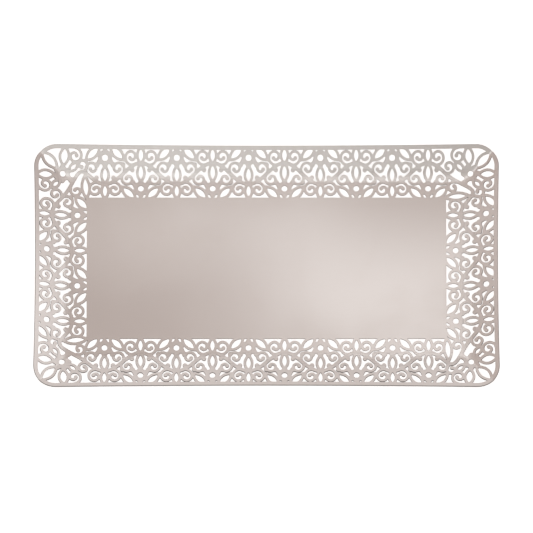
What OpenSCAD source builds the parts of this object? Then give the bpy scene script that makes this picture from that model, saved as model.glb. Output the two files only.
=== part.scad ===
// Serving tray pressed from one pierced sheet of stainless steel, on four bumper feet.
// Millimetres, +Z up. The origin is under the middle of the tray, on the table.

/* [Tray] */
// Length over the corners
overall_l = 370; // [320:2:420]
// Width over the corners
overall_w = 202; // [180:2:240]
// Width of the pierced border, from the centre panel to the edge
border_w = 42.5; // [36:0.5:46]
// How far the middle of each side draws in from its corners
side_bow = 1.6; // [0:0.2:2.4]
// Radius of the corners
corner_r = 18; // [12:1:24]

/* [Sheet] */
// Thickness of the sheet
sheet_t = 1; // [0.8:0.1:1.5]
// From the centre panel to the start of the bend
flat_w = 11.5; // [8:0.5:16]
// Inside radius of the bend
bend_r = 34; // [10:1:40]
// Slope of the raised part of the border
wing_angle = 19; // [10:1:30]

/* [Openwork] */
// Width of the plain band along the edge
rim_w = 3.2; // [2.4:0.1:4.5]
// Width of the vine's stem
stem_w = 3; // [2.2:0.1:3.6]
// Width of the vine's curls and leaf outlines
rib_w = 2.2; // [1.8:0.1:2.6]
// Length of half a wave of the vine, before it is fitted to a side
unit_pitch = 28.8; // [26:0.2:32]
// Hole in the middle of a flower
flower_hole_d = 4.8; // [3.6:0.2:6]

/* [Feet] */
// Diameter of a bumper foot where it sticks to the sheet
foot_d = 10; // [8:0.5:14]
// Diameter of a bumper foot on the table
foot_tip_d = 8; // [6:0.5:8]
// Height of a bumper foot
foot_h = 3; // [2:0.5:6]
// From the edge of the centre panel to the middle of a foot
foot_inset = 12.5; // [8:0.5:24]

/* [Hidden] */

steel = [0.77, 0.72, 0.69];
clear_rubber = [0.82, 0.82, 0.80];

panel_l = overall_l - 2 * border_w;
panel_w = overall_w - 2 * border_w;
lace_w = border_w - rim_w;
// The bend starts along a rectangle outside the centre panel
bend_l = panel_l + 2 * flat_w;
bend_w = panel_w + 2 * flat_w;
// Borders, wings and corners meet along another, through the middle of the vine
seam_l = panel_l + lace_w;
seam_w = panel_w + lace_w;
// Edge of the panel that goes with each side of the border
ledge_w = 4;
// How far the short borders reach past the panel
side_lap = 1;
// Blanks reach this far past the outline that trims them
trim = 4;
// From the start of the bend to the edge
slope_w = border_w - flat_w;
// Taller than the raised border
blank_h = sheet_t + 2 * border_w;
bow_steps = 12;
bend_steps = 4;

// The vine is drawn at its own pitch on a grid of this many steps, then fitted to the border
grid_steps = 144;
grid = unit_pitch / grid_steps;
unit_h = 189 * grid;
vine_wave = 40 * grid;
stem_steps = 8;
// A curl winds in to this radius, in steps of this angle, and ends in a bud
curl_tip_r = 7.5 * grid;
curl_step = 30;
bud_d = 1.5 * rib_w;
leaf_steps = 6;
petals = 6;
petal_steps = 4;
petal_depth = 0.14;
berry_sides = 8;

// Curls: root along the stem, forwards or backwards, first radius, turn
unit_curls = [
    stem_curl(47, 180, 30.5, -440),
    stem_curl(97, 0, 30.5, 440),
    stem_curl(2, 180, 28, 390),
    stem_curl(142, 0, 28, -390)];
// Leaves: base, tip, half width
unit_leaves = grid * [
    [[50, -5], [-4, 44], 16.5],
    [[94, -5], [148, 44], 16.5],
    [[72, 65], [72, 133], 14.5],
    [[72, 132], [72, 193], 14]];
// Flowers and berries: middle, radius
unit_flowers = grid * [[[72, 36], 38]];
unit_berries = grid * [
    [[40, 61], 10.5], [[104, 61], 10.5], [[-1, 61], 9.5], [[38, 109], 9.5], [[106, 109], 9.5]];

corner_stem = grid * bezier([0, 94.5], [40, 130], [47.5, 52.5], [94.5, 0]);
// Curls: root, heading, first radius, turn
corner_curls = [
    grid_curl([47, 190], 180, 30, 440),
    grid_curl([190, 47], 270, 30, -440),
    grid_curl([60, 41], 305, 24, -360),
    grid_curl([29, 103], 200, 26, -380),
    grid_curl([101, -7], 130, 26, -380)];
corner_leaves = grid * [
    [[114, 114], [173, 173], 19.5],
    [[125, 90], [193, 83], 18],
    [[90, 125], [83, 193], 18],
    [[105, 68], [135, 36], 12],
    [[68, 105], [36, 135], 12],
    [[1, -3], [9, 87], 15]];
corner_flowers = grid * [[[94, 94], 38]];
corner_berries = grid * [[[61, 71], 12]];

function polar(r, a) = [r * cos(a), r * sin(a)];
function across(v) = [-v[1], v[0]] / norm(v);
function last(list) = list[len(list) - 1];

function stem_point(t) = [unit_pitch * t, unit_h / 2 + vine_wave * sin(180 * t)];
function stem_slope(t) = atan(vine_wave * PI / unit_pitch * cos(180 * t));
function stem_curl(u, turned, r, turn) =
    let (t = u / grid_steps) [stem_point(t), stem_slope(t) + turned, grid * r, turn];
function grid_curl(root, heading, r, turn) = [grid * root, heading, grid * r, turn];
unit_stem = [for (i = [0:stem_steps]) stem_point(i / stem_steps)];

function bezier(a, b, c, d) = [for (i = [0:stem_steps])
    let (t = i / stem_steps, s = 1 - t)
    s * s * s * a + 3 * s * s * t * b + 3 * s * t * t * c + t * t * t * d];
// A spiral that leaves its root along the heading and winds inwards
function curl_path(c) =
    let (hand = sign(c[3]), middle = c[0] + polar(c[2], c[1] + 90 * hand))
    let (n = ceil(abs(c[3]) / curl_step))
    [for (i = [0:n]) let (t = i / n)
        middle + polar(c[2] + (curl_tip_r - c[2]) * t, c[1] - 90 * hand + c[3] * t)];
// A leaf's pointed outline, up one side and down the other
function leaf_path(c) =
    let (run = c[1] - c[0], side = 4 * c[2] * across(run))
    [for (i = [0:2 * leaf_steps - 1])
        let (up = i < leaf_steps, t = up ? i / leaf_steps : 2 - i / leaf_steps)
        c[0] + run * t + side * t * (1 - t) * (up ? 1 : -1)];
function flower_path(c) =
    [for (i = [0:petals * petal_steps - 1]) let (a = 360 * i / (petals * petal_steps))
        c[0] + polar(c[1] * (1 - petal_depth * (1 + cos(petals * a))), a)];
function ring_path(middle, r, n) = [for (i = [0:n - 1]) middle + polar(r, 360 * i / n)];

// A unit's points, stretched to the size of its cell and set outwards from the panel
function fitted(path, cell) =
    let (length = cell[0], natural = cell[1], flipped = cell[2])
    [for (p = path) [p[0] * length / natural,
        -(flipped ? unit_h - p[1] : p[1]) * lace_w / unit_h]];
function path_side(p, i, w) = across(p[min(i + 1, len(p) - 1)] - p[max(i - 1, 0)]) * w / 2;

module rib(p, w) {
    polygon([
        for (i = [0:len(p) - 1]) p[i] + path_side(p, i, w),
        for (i = [len(p) - 1:-1:0]) p[i] - path_side(p, i, w)]);
}

module vine(stem, curls, leaves, flowers, berries, cell) {
    rib(fitted(stem, cell), stem_w);
    for (c = curls) {
        path = fitted(curl_path(c), cell);
        rib(path, rib_w);
        translate(last(path)) circle(d = bud_d, $fn = 8);
    }
    for (c = leaves) offset(delta = rib_w / 2) polygon(fitted(leaf_path(c), cell));
    for (c = flowers) polygon(fitted(flower_path(c), cell));
    for (c = berries) polygon(fitted(ring_path(c[0], c[1], berry_sides), cell));
}

module eyes(leaves, flowers, cell) {
    for (c = leaves) offset(delta = -rib_w / 2) polygon(fitted(leaf_path(c), cell));
    for (c = flowers) translate(fitted([c[0]], cell)[0]) circle(d = flower_hole_d, $fn = 12);
}

// One side of the border and the corner after it, from the end of the panel's edge
module side_of_vine(length, holes) {
    count = 2 * max(1, round(length / (2 * unit_pitch)));
    for (k = [0:count - 1]) translate([k * length / count, 0]) {
        cell = [length / count, unit_pitch, k % 2 == 1];
        if (holes) eyes(unit_leaves, unit_flowers, cell);
        else vine(unit_stem, unit_curls, unit_leaves, unit_flowers, unit_berries, cell);
    }
    cell = [lace_w, unit_h, false];
    translate([length, 0])
    if (holes) eyes(corner_leaves, corner_flowers, cell);
    else vine(corner_stem, corner_curls, corner_leaves, corner_flowers, corner_berries, cell);
}

module ring_of_vine(holes) {
    for (i = [0:3]) {
        length = i % 2 == 0 ? panel_l : panel_w;
        depth = i % 2 == 0 ? panel_w : panel_l;
        rotate(90 * i) translate([-length / 2, -depth / 2]) side_of_vine(length, holes);
    }
}

function bowed(a, b) = [for (i = [0:bow_steps - 1]) let (t = i / bow_steps)
    a + (b - a) * t + across(b - a) * side_bow * 4 * t * (1 - t)];

module outline() {
    x = overall_l / 2;
    y = overall_w / 2;
    offset(r = corner_r, $fn = 48) offset(delta = -corner_r)
    polygon(concat(bowed([-x, -y], [x, -y]), bowed([x, -y], [x, y]),
        bowed([x, y], [-x, y]), bowed([-x, y], [-x, -y])));
}

// The flat layout of the whole sheet
module lace() {
    difference() {
        outline();
        offset(delta = -rim_w) outline();
    }
    intersection() {
        outline();
        difference() {
            ring_of_vine(false);
            ring_of_vine(true);
        }
    }
    square([panel_l, panel_w], center = true);
}

// The part of the layout inside a plan, as one clean outline
module cut() {
    offset(delta = 0) intersection() {
        lace();
        children();
    }
}

// A point of the bend at angle a, as distance out and height
function bend_point(a, r) = [r * sin(a), sheet_t + bend_r - r * cos(a)];
function along_wing(p, out) = p + [1, tan(wing_angle)] * (out - p[0]);

// A face of the raised sheet in section: the bend, then the straight slope to past the rim
function face(r, past) = [
    for (i = [0:bend_steps]) bend_point(wing_angle * i / bend_steps, r),
    along_wing(bend_point(wing_angle, r), slope_w + past)];

// All that lies under a face with its sides raised one way
module under(start, run, r, past) {
    p = [for (q = face(r, past)) q + [start, 0]];
    rotate([90, 0, 0]) linear_extrude(2 * (run + slope_w + past), center = true)
    polygon([
        for (i = [len(p) - 1:-1:0]) [-p[i][0], p[i][1]],
        for (q = p) q,
        [last(p)[0], -past],
        [-last(p)[0], -past]]);
}

// All that lies under a face with its sides raised both ways, which meet in mitres
module under_both(r, past) {
    under(bend_l / 2, bend_w / 2, r, past);
    rotate(90) under(bend_w / 2, bend_l / 2, r, past);
}

// The sheet as it is pressed, between its two faces
module pressed_sheet() {
    difference() {
        under_both(bend_r, trim);
        under_both(bend_r + sheet_t, 2 * trim);
    }
}

// The part of the pressed and pierced sheet inside a plan
module piece() {
    color(steel) translate([0, 0, foot_h]) intersection() {
        translate([0, 0, -trim]) linear_extrude(trim + blank_h) cut() children();
        pressed_sheet();
    }
}

// Plan of a strip along one side, from one distance out to another;
// the front is side 0, and the others follow counter-clockwise
module strip(i, half, near, far) {
    rotate(90 * i) translate([-half, -far]) square([2 * half, far - near]);
}

module centre_panel() {
    color(steel) translate([0, 0, foot_h]) linear_extrude(sheet_t)
    square([panel_l - 2 * ledge_w, panel_w - 2 * ledge_w], center = true);
}

// The inner openwork of one side and the panel's edge that carries it;
// the long sides take in the corners
module border(i) {
    long = i % 2 == 0;
    near = (long ? panel_w : panel_l) / 2;
    far = (long ? seam_w : seam_l) / 2;
    piece() {
        strip(i, long ? panel_l / 2 - ledge_w : panel_w / 2, near - ledge_w, near);
        strip(i, long ? panel_l / 2 : panel_w / 2 + side_lap, near, far);
        if (long) strip(i, seam_l / 2, near + side_lap, far);
    }
}

// The outer openwork of one side, and the rim
module wing(i) {
    long = i % 2 == 0;
    piece() strip(i, (long ? seam_l : seam_w) / 2, (long ? seam_w : seam_l) / 2,
        (long ? overall_w : overall_l) / 2 + trim);
}

// The outer openwork of one corner, and the rim
module corner(sx, sy) {
    inner = [sx * seam_l, sy * seam_w] / 2;
    outer = [sx * (overall_l / 2 + trim), sy * (overall_w / 2 + trim)];
    piece() polygon([inner, [outer[0], inner[1]], outer, [inner[0], outer[1]]]);
}

module foot(sx, sy) {
    color(clear_rubber)
    translate([sx * (panel_l / 2 - foot_inset), sy * (panel_w / 2 - foot_inset), 0])
    cylinder(h = foot_h, d1 = foot_tip_d, d2 = foot_d, $fn = 48);
}

centre_panel();
border(0);  // front_border
border(1);  // right_border
border(2);  // back_border
border(3);  // left_border
wing(0);  // front_wing
wing(1);  // right_wing
wing(2);  // back_wing
wing(3);  // left_wing
corner(1, -1);  // front_right_corner
corner(1, 1);  // back_right_corner
corner(-1, 1);  // back_left_corner
corner(-1, -1);  // front_left_corner
foot(-1, -1);  // front_left_foot
foot(1, -1);  // front_right_foot
foot(-1, 1);  // back_left_foot
foot(1, 1);  // back_right_foot
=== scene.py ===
import math
import bpy
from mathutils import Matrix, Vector
from mathutils.geometry import delaunay_2d_cdt


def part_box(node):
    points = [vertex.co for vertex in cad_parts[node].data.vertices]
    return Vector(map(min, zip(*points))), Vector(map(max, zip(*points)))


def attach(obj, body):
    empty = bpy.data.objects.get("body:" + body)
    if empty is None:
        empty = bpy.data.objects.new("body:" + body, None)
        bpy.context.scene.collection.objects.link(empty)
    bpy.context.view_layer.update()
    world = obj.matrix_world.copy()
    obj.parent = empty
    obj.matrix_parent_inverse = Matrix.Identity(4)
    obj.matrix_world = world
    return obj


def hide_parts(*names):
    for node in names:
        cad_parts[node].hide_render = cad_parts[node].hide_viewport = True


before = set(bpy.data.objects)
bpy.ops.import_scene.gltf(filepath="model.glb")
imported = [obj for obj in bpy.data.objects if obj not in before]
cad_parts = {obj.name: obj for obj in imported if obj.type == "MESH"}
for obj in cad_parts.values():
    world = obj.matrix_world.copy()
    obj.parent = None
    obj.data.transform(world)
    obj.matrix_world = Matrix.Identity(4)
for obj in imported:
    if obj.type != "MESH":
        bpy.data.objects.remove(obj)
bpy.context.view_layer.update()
scene = bpy.context.scene
scene.view_settings.view_transform = "Standard"
mm = 0.001
print("frame loaded")


def addNode(tree, kind, inputs=None, **settings):
    made = tree.nodes.new(kind)
    for name, value in settings.items():
        setattr(made, name, value)
    for name, value in (inputs or {}).items():
        if isinstance(value, bpy.types.NodeSocket):
            tree.links.new(value, made.inputs[name])
        else:
            made.inputs[name].default_value = value
    return made


def addMath(tree, operation, *values):
    return addNode(tree, "ShaderNodeMath", dict(enumerate(values)), operation=operation).outputs[0]


def addMix(tree, factor, a, b):
    return addNode(tree, "ShaderNodeMix", {0: factor, 6: a, 7: b}, data_type="RGBA").outputs[2]


def addSpread(tree, value, low, high):
    return addNode(tree, "ShaderNodeMapRange", {0: value, 1: low, 2: high},
                   interpolation_type="SMOOTHSTEP").outputs[0]


def newGroup(name, inputs, outputs):
    group = bpy.data.node_groups.new(name, "ShaderNodeTree")
    for label, value in inputs.items():
        socket = group.interface.new_socket(label, in_out="INPUT", socket_type="NodeSocketFloat")
        socket.default_value = value
    for label in outputs:
        group.interface.new_socket(label, in_out="OUTPUT", socket_type="NodeSocketFloat")
    return group, addNode(group, "NodeGroupInput"), addNode(group, "NodeGroupOutput")


def useGroup(tree, group, inputs):
    return addNode(tree, "ShaderNodeGroup", inputs, node_tree=group)


def newMaterial(name):
    material = bpy.data.materials.new(name)
    material.use_nodes = True
    return material, material.node_tree, material.node_tree.nodes["Principled BSDF"]


# fine directional grain, in cycles per metre along and across the tray
grainGroup, groupIn, groupOut = newGroup("fineGrain", {"Along": 90, "Across": 2600}, ["Shade"])
place = addNode(grainGroup, "ShaderNodeTexCoord").outputs["Object"]
parts = addNode(grainGroup, "ShaderNodeSeparateXYZ", {0: place})
stretched = addNode(grainGroup, "ShaderNodeCombineXYZ", {
    0: addMath(grainGroup, "MULTIPLY", parts.outputs[0], groupIn.outputs["Along"]),
    1: addMath(grainGroup, "MULTIPLY", parts.outputs[1], groupIn.outputs["Across"]),
    2: addMath(grainGroup, "MULTIPLY", parts.outputs[2], groupIn.outputs["Across"])})
grain = addNode(grainGroup, "ShaderNodeTexNoise", {
    "Vector": stretched.outputs[0], "Scale": 1.0, "Detail": 3.0})
grainGroup.links.new(grain.outputs[0], groupOut.inputs["Shade"])

# soft cloudy marks from wiping and handling
marksGroup, groupIn, groupOut = newGroup("handlingMarks", {"Scale": 14, "Low": 0.45, "High": 0.75}, ["Mask"])
place = addNode(marksGroup, "ShaderNodeTexCoord").outputs["Object"]
cloud = addNode(marksGroup, "ShaderNodeTexNoise", {
    "Vector": place, "Scale": groupIn.outputs["Scale"], "Detail": 4.0, "Distortion": 0.8})
spread = addSpread(marksGroup, cloud.outputs[0], groupIn.outputs["Low"], groupIn.outputs["High"])
marksGroup.links.new(spread, groupOut.inputs["Mask"])
print("shared groups made")

# satin steel, with painted shade: the laser-cut walls are painted near-black and the sheet just beside them a
# little darker
steelLook = {
    "bright": (0.78, 0.735, 0.715, 1), "warm": (0.73, 0.67, 0.64, 1), "cut": (0.09, 0.078, 0.07, 1),
    "markShare": 0.4, "grainShare": 0.3,
    "rough": 0.27, "grainRough": 0.06, "markRough": 0.05, "cutRough": 0.15,
    "grain": {"Along": 90, "Across": 2600},
    "marks": {"Scale": 9, "Low": 0.42, "High": 0.72},
    "relief": {"Strength": 0.15, "Distance": 0.00001}}
steel, tree, shader = newMaterial("satinSteel")
grain = useGroup(tree, grainGroup, steelLook["grain"]).outputs["Shade"]
marks = useGroup(tree, marksGroup, steelLook["marks"]).outputs["Mask"]
cutEdgeShade = addNode(tree, "ShaderNodeAttribute", attribute_name="cutEdgeShade").outputs["Fac"]
marked = addMath(tree, "MULTIPLY", marks, steelLook["markShare"])
grained = addMath(tree, "MULTIPLY", grain, steelLook["grainShare"])
tone = addMix(tree, marked, steelLook["bright"], steelLook["warm"])
tone = addMix(tree, grained, tone, steelLook["warm"])
# painted shade: the near-black cut colour is mixed in by the edge mask
tree.links.new(addMix(tree, cutEdgeShade, tone, steelLook["cut"]), shader.inputs["Base Color"])
rough = addMath(tree, "MULTIPLY_ADD", grain, steelLook["grainRough"], steelLook["rough"])
rough = addMath(tree, "MULTIPLY_ADD", marks, steelLook["markRough"], rough)
rough = addMath(tree, "MULTIPLY_ADD", cutEdgeShade, steelLook["cutRough"], rough)
tree.links.new(rough, shader.inputs["Roughness"])
relief = addNode(tree, "ShaderNodeBump", {"Height": grain, **steelLook["relief"]})
tree.links.new(relief.outputs[0], shader.inputs["Normal"])
shader.inputs["Metallic"].default_value = 1

# frosted clear rubber
rubberLook = {
    "clear": (0.86, 0.86, 0.84, 1), "dusty": (0.74, 0.73, 0.70, 1),
    "rough": 0.3, "dustRough": 0.25, "transmission": 0.55, "ior": 1.45,
    "grain": {"Along": 1400, "Across": 1400},
    "marks": {"Scale": 220, "Low": 0.5, "High": 0.8},
    "relief": {"Strength": 0.2, "Distance": 0.00005}}
rubber, tree, shader = newMaterial("clearRubber")
grain = useGroup(tree, grainGroup, rubberLook["grain"]).outputs["Shade"]
marks = useGroup(tree, marksGroup, rubberLook["marks"]).outputs["Mask"]
tree.links.new(addMix(tree, marks, rubberLook["clear"], rubberLook["dusty"]), shader.inputs["Base Color"])
rough = addMath(tree, "MULTIPLY_ADD", marks, rubberLook["dustRough"], rubberLook["rough"])
tree.links.new(rough, shader.inputs["Roughness"])
relief = addNode(tree, "ShaderNodeBump", {"Height": grain, **rubberLook["relief"]})
tree.links.new(relief.outputs[0], shader.inputs["Normal"])
shader.inputs["Transmission Weight"].default_value = rubberLook["transmission"]
shader.inputs["IOR"].default_value = rubberLook["ior"]
print("materials made")

# the sheet's plan and bend, in millimetres
panelLow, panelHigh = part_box("centre_panel")
sheetPlan = {
    "halfL": 185, "halfW": 101, "border": 42.5, "sideBow": 1.6, "cornerR": 18,
    "flatW": 11.5, "bendR": 34, "wingAngle": math.radians(19), "crease": 3,
    "rimW": 3.2, "stemW": 3, "ribW": 2.2, "pitch": 28.8, "flowerHoleR": 2.4,
    "bottomZ": panelLow.z / mm, "thick": (panelHigh.z - panelLow.z) / mm,
    "longSteps": 80, "shortSteps": 40, "cornerSteps": 40, "cornerTries": 40}
panelX = sheetPlan["halfL"] - sheetPlan["border"]
panelY = sheetPlan["halfW"] - sheetPlan["border"]
bendX = panelX + sheetPlan["flatW"]
bendY = panelY + sheetPlan["flatW"]
laceW = sheetPlan["border"] - sheetPlan["rimW"]

# the vine, drawn in a unit of this size and in a square corner
unitL = 28.8
unitH = 37.8
vine = {
    "wave": 8, "curlTipR": 1.5, "budShare": 1.5, "petals": 6, "petalDepth": 0.14,
    "stemSteps": 28, "curlStep": 8, "leafSteps": 20, "leafTrim": 0.02, "petalSteps": 10, "ringSteps": 20}


def polar(r, degrees):
    return Vector((r * math.cos(math.radians(degrees)), r * math.sin(math.radians(degrees))))


def across(v):
    return Vector((-v.y, v.x)).normalized()


def stemV(u):
    return unitH / 2 + vine["wave"] * math.sin(math.pi * u / unitL)


def stemCurl(u, turned, r, turn):
    slope = math.degrees(math.atan(vine["wave"] * math.pi / unitL * math.cos(math.pi * u / unitL)))
    return ((u, stemV(u)), slope + turned, r, turn)


def bezier(a, b, c, d):
    a, b, c, d = (Vector(p) for p in (a, b, c, d))
    points = []
    for i in range(vine["stemSteps"] + 1):
        t = i / vine["stemSteps"]
        s = 1 - t
        points.append(s ** 3 * a + 3 * s * s * t * b + 3 * s * t * t * c + t ** 3 * d)
    return points


# curls: root, heading, first radius, turn; leaves: base, tip, half width; flowers and berries: middle, radius
stemStations = [unitL * i / vine["stemSteps"] for i in range(vine["stemSteps"] + 1)]
unitMotif = {
    "stem": [Vector((u, stemV(u))) for u in stemStations],
    "curls": [stemCurl(9.4, 180, 6.1, -440), stemCurl(19.4, 0, 6.1, 440),
              stemCurl(0.4, 180, 5.6, 390), stemCurl(28.4, 0, 5.6, -390)],
    "leaves": [((10, -1), (-0.8, 8.8), 3.3), ((18.8, -1), (29.6, 8.8), 3.3),
               ((14.4, 13), (14.4, 26.6), 2.9), ((14.4, 26.4), (14.4, 38.6), 2.8)],
    "flowers": [((14.4, 7.2), 7.6)],
    "berries": [((8, 12.2), 2.1), ((20.8, 12.2), 2.1), ((-0.2, 12.2), 1.9),
                ((7.6, 21.8), 1.9), ((21.2, 21.8), 1.9)]}
cornerMotif = {
    "stem": bezier((0, 18.9), (8, 26), (9.5, 10.5), (18.9, 0)),
    "curls": [((9.4, 38), 180, 6, 440), ((38, 9.4), 270, 6, -440), ((12, 8.2), 305, 4.8, -360),
              ((5.8, 20.6), 200, 5.2, -380), ((20.2, -1.4), 130, 5.2, -380)],
    "leaves": [((22.8, 22.8), (34.6, 34.6), 3.9), ((25, 18), (38.6, 16.6), 3.6),
               ((18, 25), (16.6, 38.6), 3.6), ((21, 13.6), (27, 7.2), 2.4),
               ((13.6, 21), (7.2, 27), 2.4), ((0.2, -0.6), (1.8, 17.4), 3.0)],
    "flowers": [((18.8, 18.8), 7.6)],
    "berries": [((12.2, 14.2), 2.4)]}


def curlPath(root, heading, r, turn):
    hand = 1 if turn > 0 else -1
    middle = Vector(root) + polar(r, heading + 90 * hand)
    steps = math.ceil(abs(turn) / vine["curlStep"])
    shrink = (vine["curlTipR"] - r) / steps
    return [middle + polar(r + shrink * i, heading - 90 * hand + turn * i / steps) for i in range(steps + 1)]


def flowerPath(middle, r):
    steps = vine["petals"] * vine["petalSteps"]
    path = []
    for i in range(steps):
        dip = vine["petalDepth"] * (1 + math.cos(2 * math.pi * vine["petals"] * i / steps))
        path.append(Vector(middle) + polar(r * (1 - dip), 360 * i / steps))
    return path


def ringPath(middle, r):
    return [Vector(middle) + polar(r, 360 * i / vine["ringSteps"]) for i in range(vine["ringSteps"])]


def ribPath(path, half):
    last = len(path) - 1
    sides = [across(path[min(i + 1, last)] - path[max(i - 1, 0)]) * half for i in range(len(path))]
    return [p + s for p, s in zip(path, sides)] + [p - s for p, s in zip(path[::-1], sides[::-1])]


# a leaf's pointed outline, moved out or in by grow
def leafPath(base, tip, half, grow):
    run = tip - base
    length = run.length
    ahead = run / length
    aside = across(run)
    upper = []
    for i in range(vine["leafSteps"] + 1):
        t = i / vine["leafSteps"]
        normal = Vector((-4 * half * (1 - 2 * t) / length, 1)).normalized()
        upper.append(Vector((length * t, 4 * half * t * (1 - t))) + normal * grow)
    upper = [p for p in upper if p.y > vine["leafTrim"]]
    if grow > 0:
        reach = grow * math.hypot(1, 4 * half / length) / (4 * half / length)
        ends = (-reach, length + reach)
    else:
        ends = (upper[0].x - upper[0].y, upper[-1].x + upper[-1].y)
    lower = [Vector((p.x, -p.y)) for p in upper[::-1]]
    outline = [Vector((ends[0], 0))] + upper + [Vector((ends[1], 0))] + lower
    return [base + ahead * p.x + aside * p.y for p in outline]


# stretched to its cell and set outwards from the panel's edge
def fitted(path, cell):
    length, natural, flipped = cell
    wide = length / natural
    deep = laceW / unitH
    return [Vector((p[0] * wide, -(unitH - p[1] if flipped else p[1]) * deep)) for p in path]


def motifPaths(motif, cell):
    half = sheetPlan["ribW"] / 2
    metal = [ribPath(fitted(motif["stem"], cell), sheetPlan["stemW"] / 2)]
    eyes = []
    for curl in motif["curls"]:
        path = fitted(curlPath(*curl), cell)
        metal += [ribPath(path, half), ringPath(path[-1], vine["budShare"] * half)]
    for base, tip, width in motif["leaves"]:
        ends = fitted([base, tip], cell)
        metal.append(leafPath(*ends, width, half))
        eyes.append(leafPath(*ends, width, -half))
    for middle, r in motif["flowers"]:
        metal.append(fitted(flowerPath(middle, r), cell))
        eyes.append(ringPath(fitted([middle], cell)[0], sheetPlan["flowerHoleR"]))
    for middle, r in motif["berries"]:
        metal.append(fitted(ringPath(middle, r), cell))
    return metal, eyes


def laceRing():
    metal = []
    eyes = []
    for side in range(4):
        halves = (panelX, panelY) if side % 2 == 0 else (panelY, panelX)
        length = 2 * halves[0]
        count = 2 * max(1, round(length / (2 * sheetPlan["pitch"])))
        cells = [(k * length / count, unitMotif, (length / count, unitL, k % 2 == 1)) for k in range(count)]
        for shift, motif, cell in cells + [(length, cornerMotif, (laceW, unitH, False))]:
            for paths, kept in zip(motifPaths(motif, cell), (metal, eyes)):
                for path in paths:
                    path = [p + Vector((shift - halves[0], -halves[1])) for p in path]
                    for turn in range(side):
                        path = [Vector((-p.y, p.x)) for p in path]
                    kept.append(path)
    return metal, eyes


def signedArea(path):
    return sum(a.cross(b) for a, b in zip(path, path[1:] + path[:1])) / 2


# the tray's outline with its drawn-in sides, moved in by inset
def outlinePath(inset):
    x, y, bow, r = (sheetPlan[k] for k in ("halfL", "halfW", "sideBow", "cornerR"))

    def bottom(t):
        return Vector((x * t, -y + bow * (1 - t * t))), Vector((2 * bow * t / x, 1)).normalized()

    def right(t):
        return Vector((x - bow * (1 - t * t), -y * t)), Vector((-1, 2 * bow * t / y)).normalized()

    t, s = 1 - r / x, 1 - r / y
    for step in range(sheetPlan["cornerTries"]):  # centre of the corner, where both sides are one radius away
        p, n = bottom(t)
        q, m = right(s)
        gap = (q + m * r) - (p + n * r)
        t += gap.x / x
        s += gap.y / y
    p, n = bottom(t)
    q, m = right(s)
    centre = p + n * r
    first = math.degrees(math.atan2(-n.y, -n.x))
    last = math.degrees(math.atan2(-m.y, -m.x))
    quarter = []
    for i in range(sheetPlan["longSteps"]):
        p, n = bottom(t * i / sheetPlan["longSteps"])
        quarter.append(p + n * inset)
    for i in range(sheetPlan["cornerSteps"] + 1):
        quarter.append(centre + polar(r - inset, first + (last - first) * i / sheetPlan["cornerSteps"]))
    for i in range(1, sheetPlan["shortSteps"] + 1):
        p, n = right(s * (1 - i / sheetPlan["shortSteps"]))
        quarter.append(p + n * inset)
    half = quarter + [Vector((p.x, -p.y)) for p in quarter[-2::-1]]
    return half + [Vector((-p.x, p.y)) for p in half[-2:0:-1]]


# cut edges: points along them, their rounding, and the painted shade that fades out beside them
edgePlan = {
    "spacing": 0.65, "fewest": 10, "smoothing": 1, "smallest": 0.8, "mergeGap": 1e-5,
    "soft": 0.12, "lean": 0.35, "edgeShadeReach": 0.25, "edgeShadeDepth": 0.27}


def triangulate(faces, lines, loose):
    points = []
    loops = []
    edges = []
    for path in faces:
        path = path if signedArea(path) > 0 else path[::-1]
        loops.append(list(range(len(points), len(points) + len(path))))
        points += path
    for path in lines:
        edges += [(len(points) + i, len(points) + i + 1) for i in range(len(path) - 1)]
        points += path
    points += loose
    made = delaunay_2d_cdt(points, edges, loops, 0, edgePlan["mergeGap"], True)
    return made[0], made[2], made[5]


# loops round the triangles, with the metal on their left
def boundaryLoops(points, triangles):
    edges = {(t[i], t[(i + 1) % 3]) for t in triangles for i in range(3)}
    follow = {}
    for a, b in sorted(edges):
        if (b, a) not in edges:
            follow.setdefault(a, []).append(b)

    def turn(before, here, after):
        back = points[before] - points[here]
        ahead = points[after] - points[here]
        return (math.atan2(back.y, back.x) - math.atan2(ahead.y, ahead.x)) % (2 * math.pi)

    loops = []
    for start in sorted(follow):
        while follow[start]:
            loop = [start]
            here = follow[start].pop(0)
            while here != start:
                before = loop[-1]
                loop.append(here)
                after = min(follow[here], key=lambda b: turn(before, here, b))
                follow[here].remove(after)
                here = after
            loops.append(loop)
    return loops


def resampled(path, spacing):
    lengths = [(b - a).length for a, b in zip(path, path[1:] + path[:1])]
    total = sum(lengths)
    count = max(edgePlan["fewest"], round(total / spacing))
    made = []
    k = 0
    passed = 0
    for i in range(count):
        at = total * i / count
        while passed + lengths[k] < at:
            passed += lengths[k]
            k += 1
        made.append(path[k].lerp(path[(k + 1) % len(path)], (at - passed) / max(lengths[k], 1e-9)))
    return made


def relaxed(path):
    return [(a + 2 * b + c) / 4 for a, b, c in zip(path[-1:] + path[:-1], path, path[1:] + path[:1])]


def outwards(path):
    return [-across(c - a) for a, c in zip(path[-1:] + path[:-1], path[1:] + path[:1])]


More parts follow.
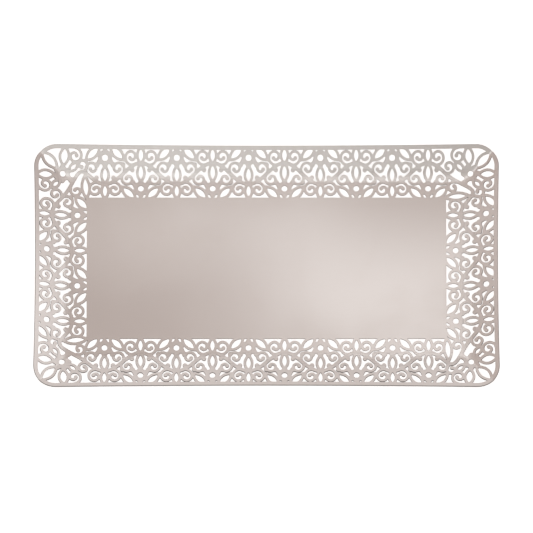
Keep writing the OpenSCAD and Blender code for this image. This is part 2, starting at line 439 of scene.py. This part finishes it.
# rim band, panel and vine, less the eyes of leaves and flowers
metalPaths, eyePaths = laceRing()
panelPath = [Vector(p) for p in ((-panelX, -panelY), (panelX, -panelY), (panelX, panelY), (-panelX, panelY))]
allPaths = [outlinePath(0), outlinePath(sheetPlan["rimW"]), panelPath] + metalPaths + eyePaths
firstEye = 3 + len(metalPaths)
points, triangles, owners = triangulate(allPaths, [], [])
kept = []
for triangle, owner in zip(triangles, owners):
    if 0 in owner and (1 not in owner or 2 in owner or 3 <= max(owner) < firstEye):
        kept.append(triangle)
loops = [[points[i] for i in loop] for loop in boundaryLoops(points, kept)]
loops.sort(key=signedArea)
openings = [loop for loop in loops if signedArea(loop) < -edgePlan["smallest"]]
print("plan cut:", len(openings), "openings,", len(loops) - 1 - len(openings), "specks left out")
edgePaths = []
for loop in loops[-1:] + openings:
    path = resampled(loop, edgePlan["spacing"])
    for step in range(edgePlan["smoothing"]):
        path = relaxed(path)
    edgePaths.append([p - n * edgePlan["soft"] for p, n in zip(path, outwards(path))])

# lines along which the sheet bends, and beside the corners' soft creases
foldPlan = {"bendSteps": 10, "start": 0.4, "gap": 0.9, "beside": 5, "step": 1.5, "points": 18}
bendOuterR = sheetPlan["bendR"] + sheetPlan["thick"]
bendEnd = bendOuterR * math.sin(sheetPlan["wingAngle"])
foldLines = []
for i in range(foldPlan["bendSteps"] + 1):
    x = bendX + bendEnd * i / foldPlan["bendSteps"]
    y = bendY + bendEnd * i / foldPlan["bendSteps"]
    foldLines.append([Vector(p) for p in ((-x, -y), (x, -y), (x, y), (-x, y), (-x, -y))])
for sx, sy in ((1, -1), (1, 1), (-1, 1), (-1, -1)):
    for i in range(-foldPlan["beside"], foldPlan["beside"] + 1):
        x = bendX + foldPlan["start"] + foldPlan["gap"] * max(i, 0)
        y = bendY + foldPlan["start"] + foldPlan["gap"] * max(-i, 0)
        runs = [foldPlan["step"] * k for k in range(foldPlan["points"])]
        foldLines.append([Vector((sx * (x + run), sy * (y + run))) for run in runs])


def rise(r):
    angle = math.asin(r / bendOuterR) if r < bendEnd else sheetPlan["wingAngle"]
    return bendOuterR * (1 - math.cos(angle)) + max(0, r - bendEnd) * math.tan(angle), math.tan(angle)


# a plan point on the pressed sheet, at a height within its thickness
def sheetPoint(p, height):
    dx = max(0, abs(p.x) - bendX)
    dy = max(0, abs(p.y) - bendY)
    crease = sheetPlan["crease"] * min(1, min(dx, dy) / sheetPlan["crease"])
    gap = max(0, crease - abs(dx - dy)) / max(crease, 0.001)
    z, slope = rise(max(dx, dy))
    share = 0.5 * gap * gap if dx < dy else 1 - 0.5 * gap * gap
    lean = Vector((math.copysign(share, p.x), math.copysign(1 - share, p.y))) * slope
    normal = Vector((-lean.x, -lean.y, 1)).normalized()
    return (Vector((p.x, p.y, sheetPlan["bottomZ"] + z)) + normal * height) * mm, normal


fadePoints = [p - n * edgePlan["edgeShadeReach"] for path in edgePaths for p, n in zip(path, outwards(path))]
points, triangles, owners = triangulate(edgePaths, foldLines, fadePoints)
kept = [triangle for triangle, owner in zip(triangles, owners) if 0 in owner and max(owner) == 0]
vertices = []
normals = []
edgeShadeMask = []
faces = []


def addVertex(place, normal, cut):
    vertices.append(place)
    normals.append(normal.normalized())
    edgeShadeMask.append(cut)
    return len(vertices) - 1


# both faces of the sheet, then a rounded wall round every opening
cutLoops = boundaryLoops(points, kept)
cutPoints = {i for loop in cutLoops for i in loop}
thick = sheetPlan["thick"]
soft = edgePlan["soft"]
tops = {}
bottoms = {}
for i in sorted({i for triangle in kept for i in triangle}):
    # painted shade: sheet points on a cut edge take part of the dark edge colour, fading out to the points
    # set just inside
    edgeShade = edgePlan["edgeShadeDepth"] if i in cutPoints else 0
    place, normal = sheetPoint(points[i], thick)
    tops[i] = addVertex(place, normal, edgeShade)
    place, normal = sheetPoint(points[i], 0)
    bottoms[i] = addVertex(place, -normal, edgeShade)
for a, b, c in kept:
    faces += [(tops[a], tops[b], tops[c]), (bottoms[c], bottoms[b], bottoms[a])]
for loop in cutLoops:
    path = [points[i] for i in loop]
    rings = [[tops[i] for i in loop], [], [], [bottoms[i] for i in loop]]
    wall = ((rings[1], thick - soft, edgePlan["lean"]), (rings[2], soft, -edgePlan["lean"]))
    # wall points take the full painted shade
    for p, n in zip(path, outwards(path)):
        for ring, height, lean in wall:
            place, normal = sheetPoint(p + n * soft, height)
            level = Vector((n.x, n.y, 0))
            facing = (level - normal * level.dot(normal)).normalized()
            ring.append(addVertex(place, facing + normal * lean, 1))
    for upper, lower in zip(rings, rings[1:]):
        for i in range(len(loop)):
            j = (i + 1) % len(loop)
            faces.append((upper[j], upper[i], lower[i], lower[j]))


def newPiece(name, vertices, faces, material, slot, *nodes):
    mesh = bpy.data.meshes.new(name)
    mesh.from_pydata(vertices, [], faces)
    mesh.materials.append(material)
    mesh.shade_smooth()
    piece = bpy.data.objects.new(name, mesh)
    scene.collection.objects.link(piece)
    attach(piece, "root")
    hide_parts(*nodes)
    return piece


steelNodes = [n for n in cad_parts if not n.endswith("_foot")]
traySheet = newPiece("tray_sheet", vertices, faces, steel, "satin_steel", *steelNodes)
# the painted-shade mask of the cut edges, read by the steel's colour and roughness
mask = traySheet.data.attributes.new("cutEdgeShade", "FLOAT", "POINT")
mask.data.foreach_set("value", edgeShadeMask)
traySheet.data.normals_split_custom_set_from_vertices(normals)
print("tray_sheet made:", len(vertices), "vertices,", len(faces), "faces")

# bumper feet, turned from a profile of radius and height as shares of the node's box
footShape = {
    "profile": ((0.30, 0), (0.60, 0), (0.68, 0.012), (0.745, 0.06), (0.79, 0.16), (0.815, 0.29),
                (0.865, 0.52), (0.925, 0.76), (0.965, 0.91), (0.985, 0.97), (0.975, 1), (0.50, 1)),
    "sides": 56}
sides = footShape["sides"]
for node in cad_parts:
    if node.endswith("_foot"):
        low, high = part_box(node)
        middle = (low + high) / 2
        radius = (high.x - low.x) / 2
        vertices = []
        faces = []
        for r, h in footShape["profile"]:
            for k in range(sides):
                p = polar(r * radius, 360 * k / sides)
                vertices.append((middle.x + p.x, middle.y + p.y, low.z + h * (high.z - low.z)))
        for i in range(len(footShape["profile"]) - 1):
            for k in range(sides):
                a = i * sides + k
                b = i * sides + (k + 1) % sides
                faces.append((a, b, b + sides, a + sides))
        faces += [tuple(range(sides))[::-1], tuple(range(len(vertices) - sides, len(vertices)))]
        newPiece(node + "_bumper", vertices, faces, rubber, "clear_rubber", node)
print("feet made")

# floor: white in view, with the tray's soft shadow
floorLook = {"half": 3, "colour": (0.92, 0.92, 0.92, 1), "glow": (1, 1, 1, 1), "shown": 0.62}
floorMaterial, tree, shader = newMaterial("paleFloor")
tree.nodes.remove(shader)
path = addNode(tree, "ShaderNodeLightPath")
seen = addMath(tree, "MAXIMUM", path.outputs["Is Camera Ray"], path.outputs["Is Glossy Ray"])
seen = addMath(tree, "MAXIMUM", seen, path.outputs["Is Transmission Ray"])
strength = addMath(tree, "MULTIPLY", seen, floorLook["shown"])
matte = addNode(tree, "ShaderNodeBsdfDiffuse", {"Color": floorLook["colour"]})
glow = addNode(tree, "ShaderNodeEmission", {"Color": floorLook["glow"], "Strength": strength})
both = addNode(tree, "ShaderNodeAddShader", {0: matte.outputs[0], 1: glow.outputs[0]})
tree.links.new(both.outputs[0], tree.nodes["Material Output"].inputs["Surface"])
half = floorLook["half"]
mesh = bpy.data.meshes.new("floor")
mesh.from_pydata([(-half, -half, 0), (half, -half, 0), (half, half, 0), (-half, half, 0)], [], [(0, 1, 2, 3)])
mesh.materials.append(floorMaterial)
floor = bpy.data.objects.new("floor", mesh)
scene.collection.objects.link(floor)

# soft studio light: a dim warm ceiling over the panel, paler towards the walls
# walls: axis, where the paling starts and ends, colour; lamps: place, size, power
studio = {
    "ceiling": (0.405, 0.323, 0.287, 1),
    "walls": ((0, 0.20, 0.55, (0.466, 0.398, 0.372, 1)), (0, -0.20, -0.55, (0.478, 0.396, 0.363, 1)),
              (1, 0.16, -0.22, (0.471, 0.447, 0.422, 1)), (1, 0.40, 0.78, (0.801, 0.764, 0.746, 1))),
    "backdrop": (1, 1, 1, 1),
    "lamps": {
        "rightCard": ((0.134, 0.118, 0.485), (0.264, 0.088), 0.103),
        "backCard": ((-0.144, 0.151, 0.363), (0.40, 0.03), 0.0487),
        "frontCard": ((-0.044, -0.131, 0.387), (0.40, 0.034), 0.1493),
        "leftGlow": ((-0.08, 0.075, 0.168), (0.055, 0.036), 0.0013),
        "spot": ((-0.141, -0.021, 0.883), (0.053, 0.05), 0.2)},
    "lampTint": (0.90, 0.975, 1.0), "lampAim": 0.03}
world = bpy.data.worlds.new("studio")
scene.world = world
world.use_nodes = True
tree = world.node_tree
path = addNode(tree, "ShaderNodeLightPath")
way = addNode(tree, "ShaderNodeSeparateXYZ", {0: addNode(tree, "ShaderNodeTexCoord").outputs["Generated"]})
shade = studio["ceiling"]
for axis, start, end, colour in studio["walls"]:
    shade = addMix(tree, addSpread(tree, way.outputs[axis], start, end), shade, colour)
around = tree.nodes["Background"]
tree.links.new(shade, around.inputs["Color"])
backdrop = addNode(tree, "ShaderNodeBackground", {"Color": studio["backdrop"], "Strength": 1.0})
chosen = addNode(tree, "ShaderNodeMixShader", {
    0: path.outputs["Is Camera Ray"], 1: around.outputs[0], 2: backdrop.outputs[0]})
tree.links.new(chosen.outputs[0], tree.nodes["World Output"].inputs["Surface"])
for name, (place, size, power) in studio["lamps"].items():
    lamp = bpy.data.lights.new(name, "AREA")
    lamp.shape = "RECTANGLE"
    lamp.size, lamp.size_y = size
    lamp.energy = power
    lamp.color = studio["lampTint"]
    holder = bpy.data.objects.new(name, lamp)
    holder.location = place
    drop = Vector((0, -studio["lampAim"], -place[2]))  # to the table, a little nearer the front
    holder.rotation_euler = drop.to_track_quat("-Z", "Y").to_euler()
    scene.collection.objects.link(holder)

# camera at the photograph's angle
cameraPlan = {
    "elevation": math.radians(73), "distance": 12.0, "seen": 0.4224, "target": (0, 0.0002, 0.0075),
    "sensor": 36, "clipEnd": 60}
lens = bpy.data.cameras.new("camera")
lens.sensor_width = cameraPlan["sensor"]
lens.lens = cameraPlan["sensor"] * cameraPlan["distance"] / cameraPlan["seen"]
lens.clip_end = cameraPlan["clipEnd"]
camera = bpy.data.objects.new("camera", lens)
aim = Vector((0, -math.cos(cameraPlan["elevation"]), math.sin(cameraPlan["elevation"])))
camera.location = Vector(cameraPlan["target"]) + aim * cameraPlan["distance"]
camera.rotation_euler = (-aim).to_track_quat("-Z", "Y").to_euler()
scene.collection.objects.link(camera)
scene.camera = camera
print("stage lit")
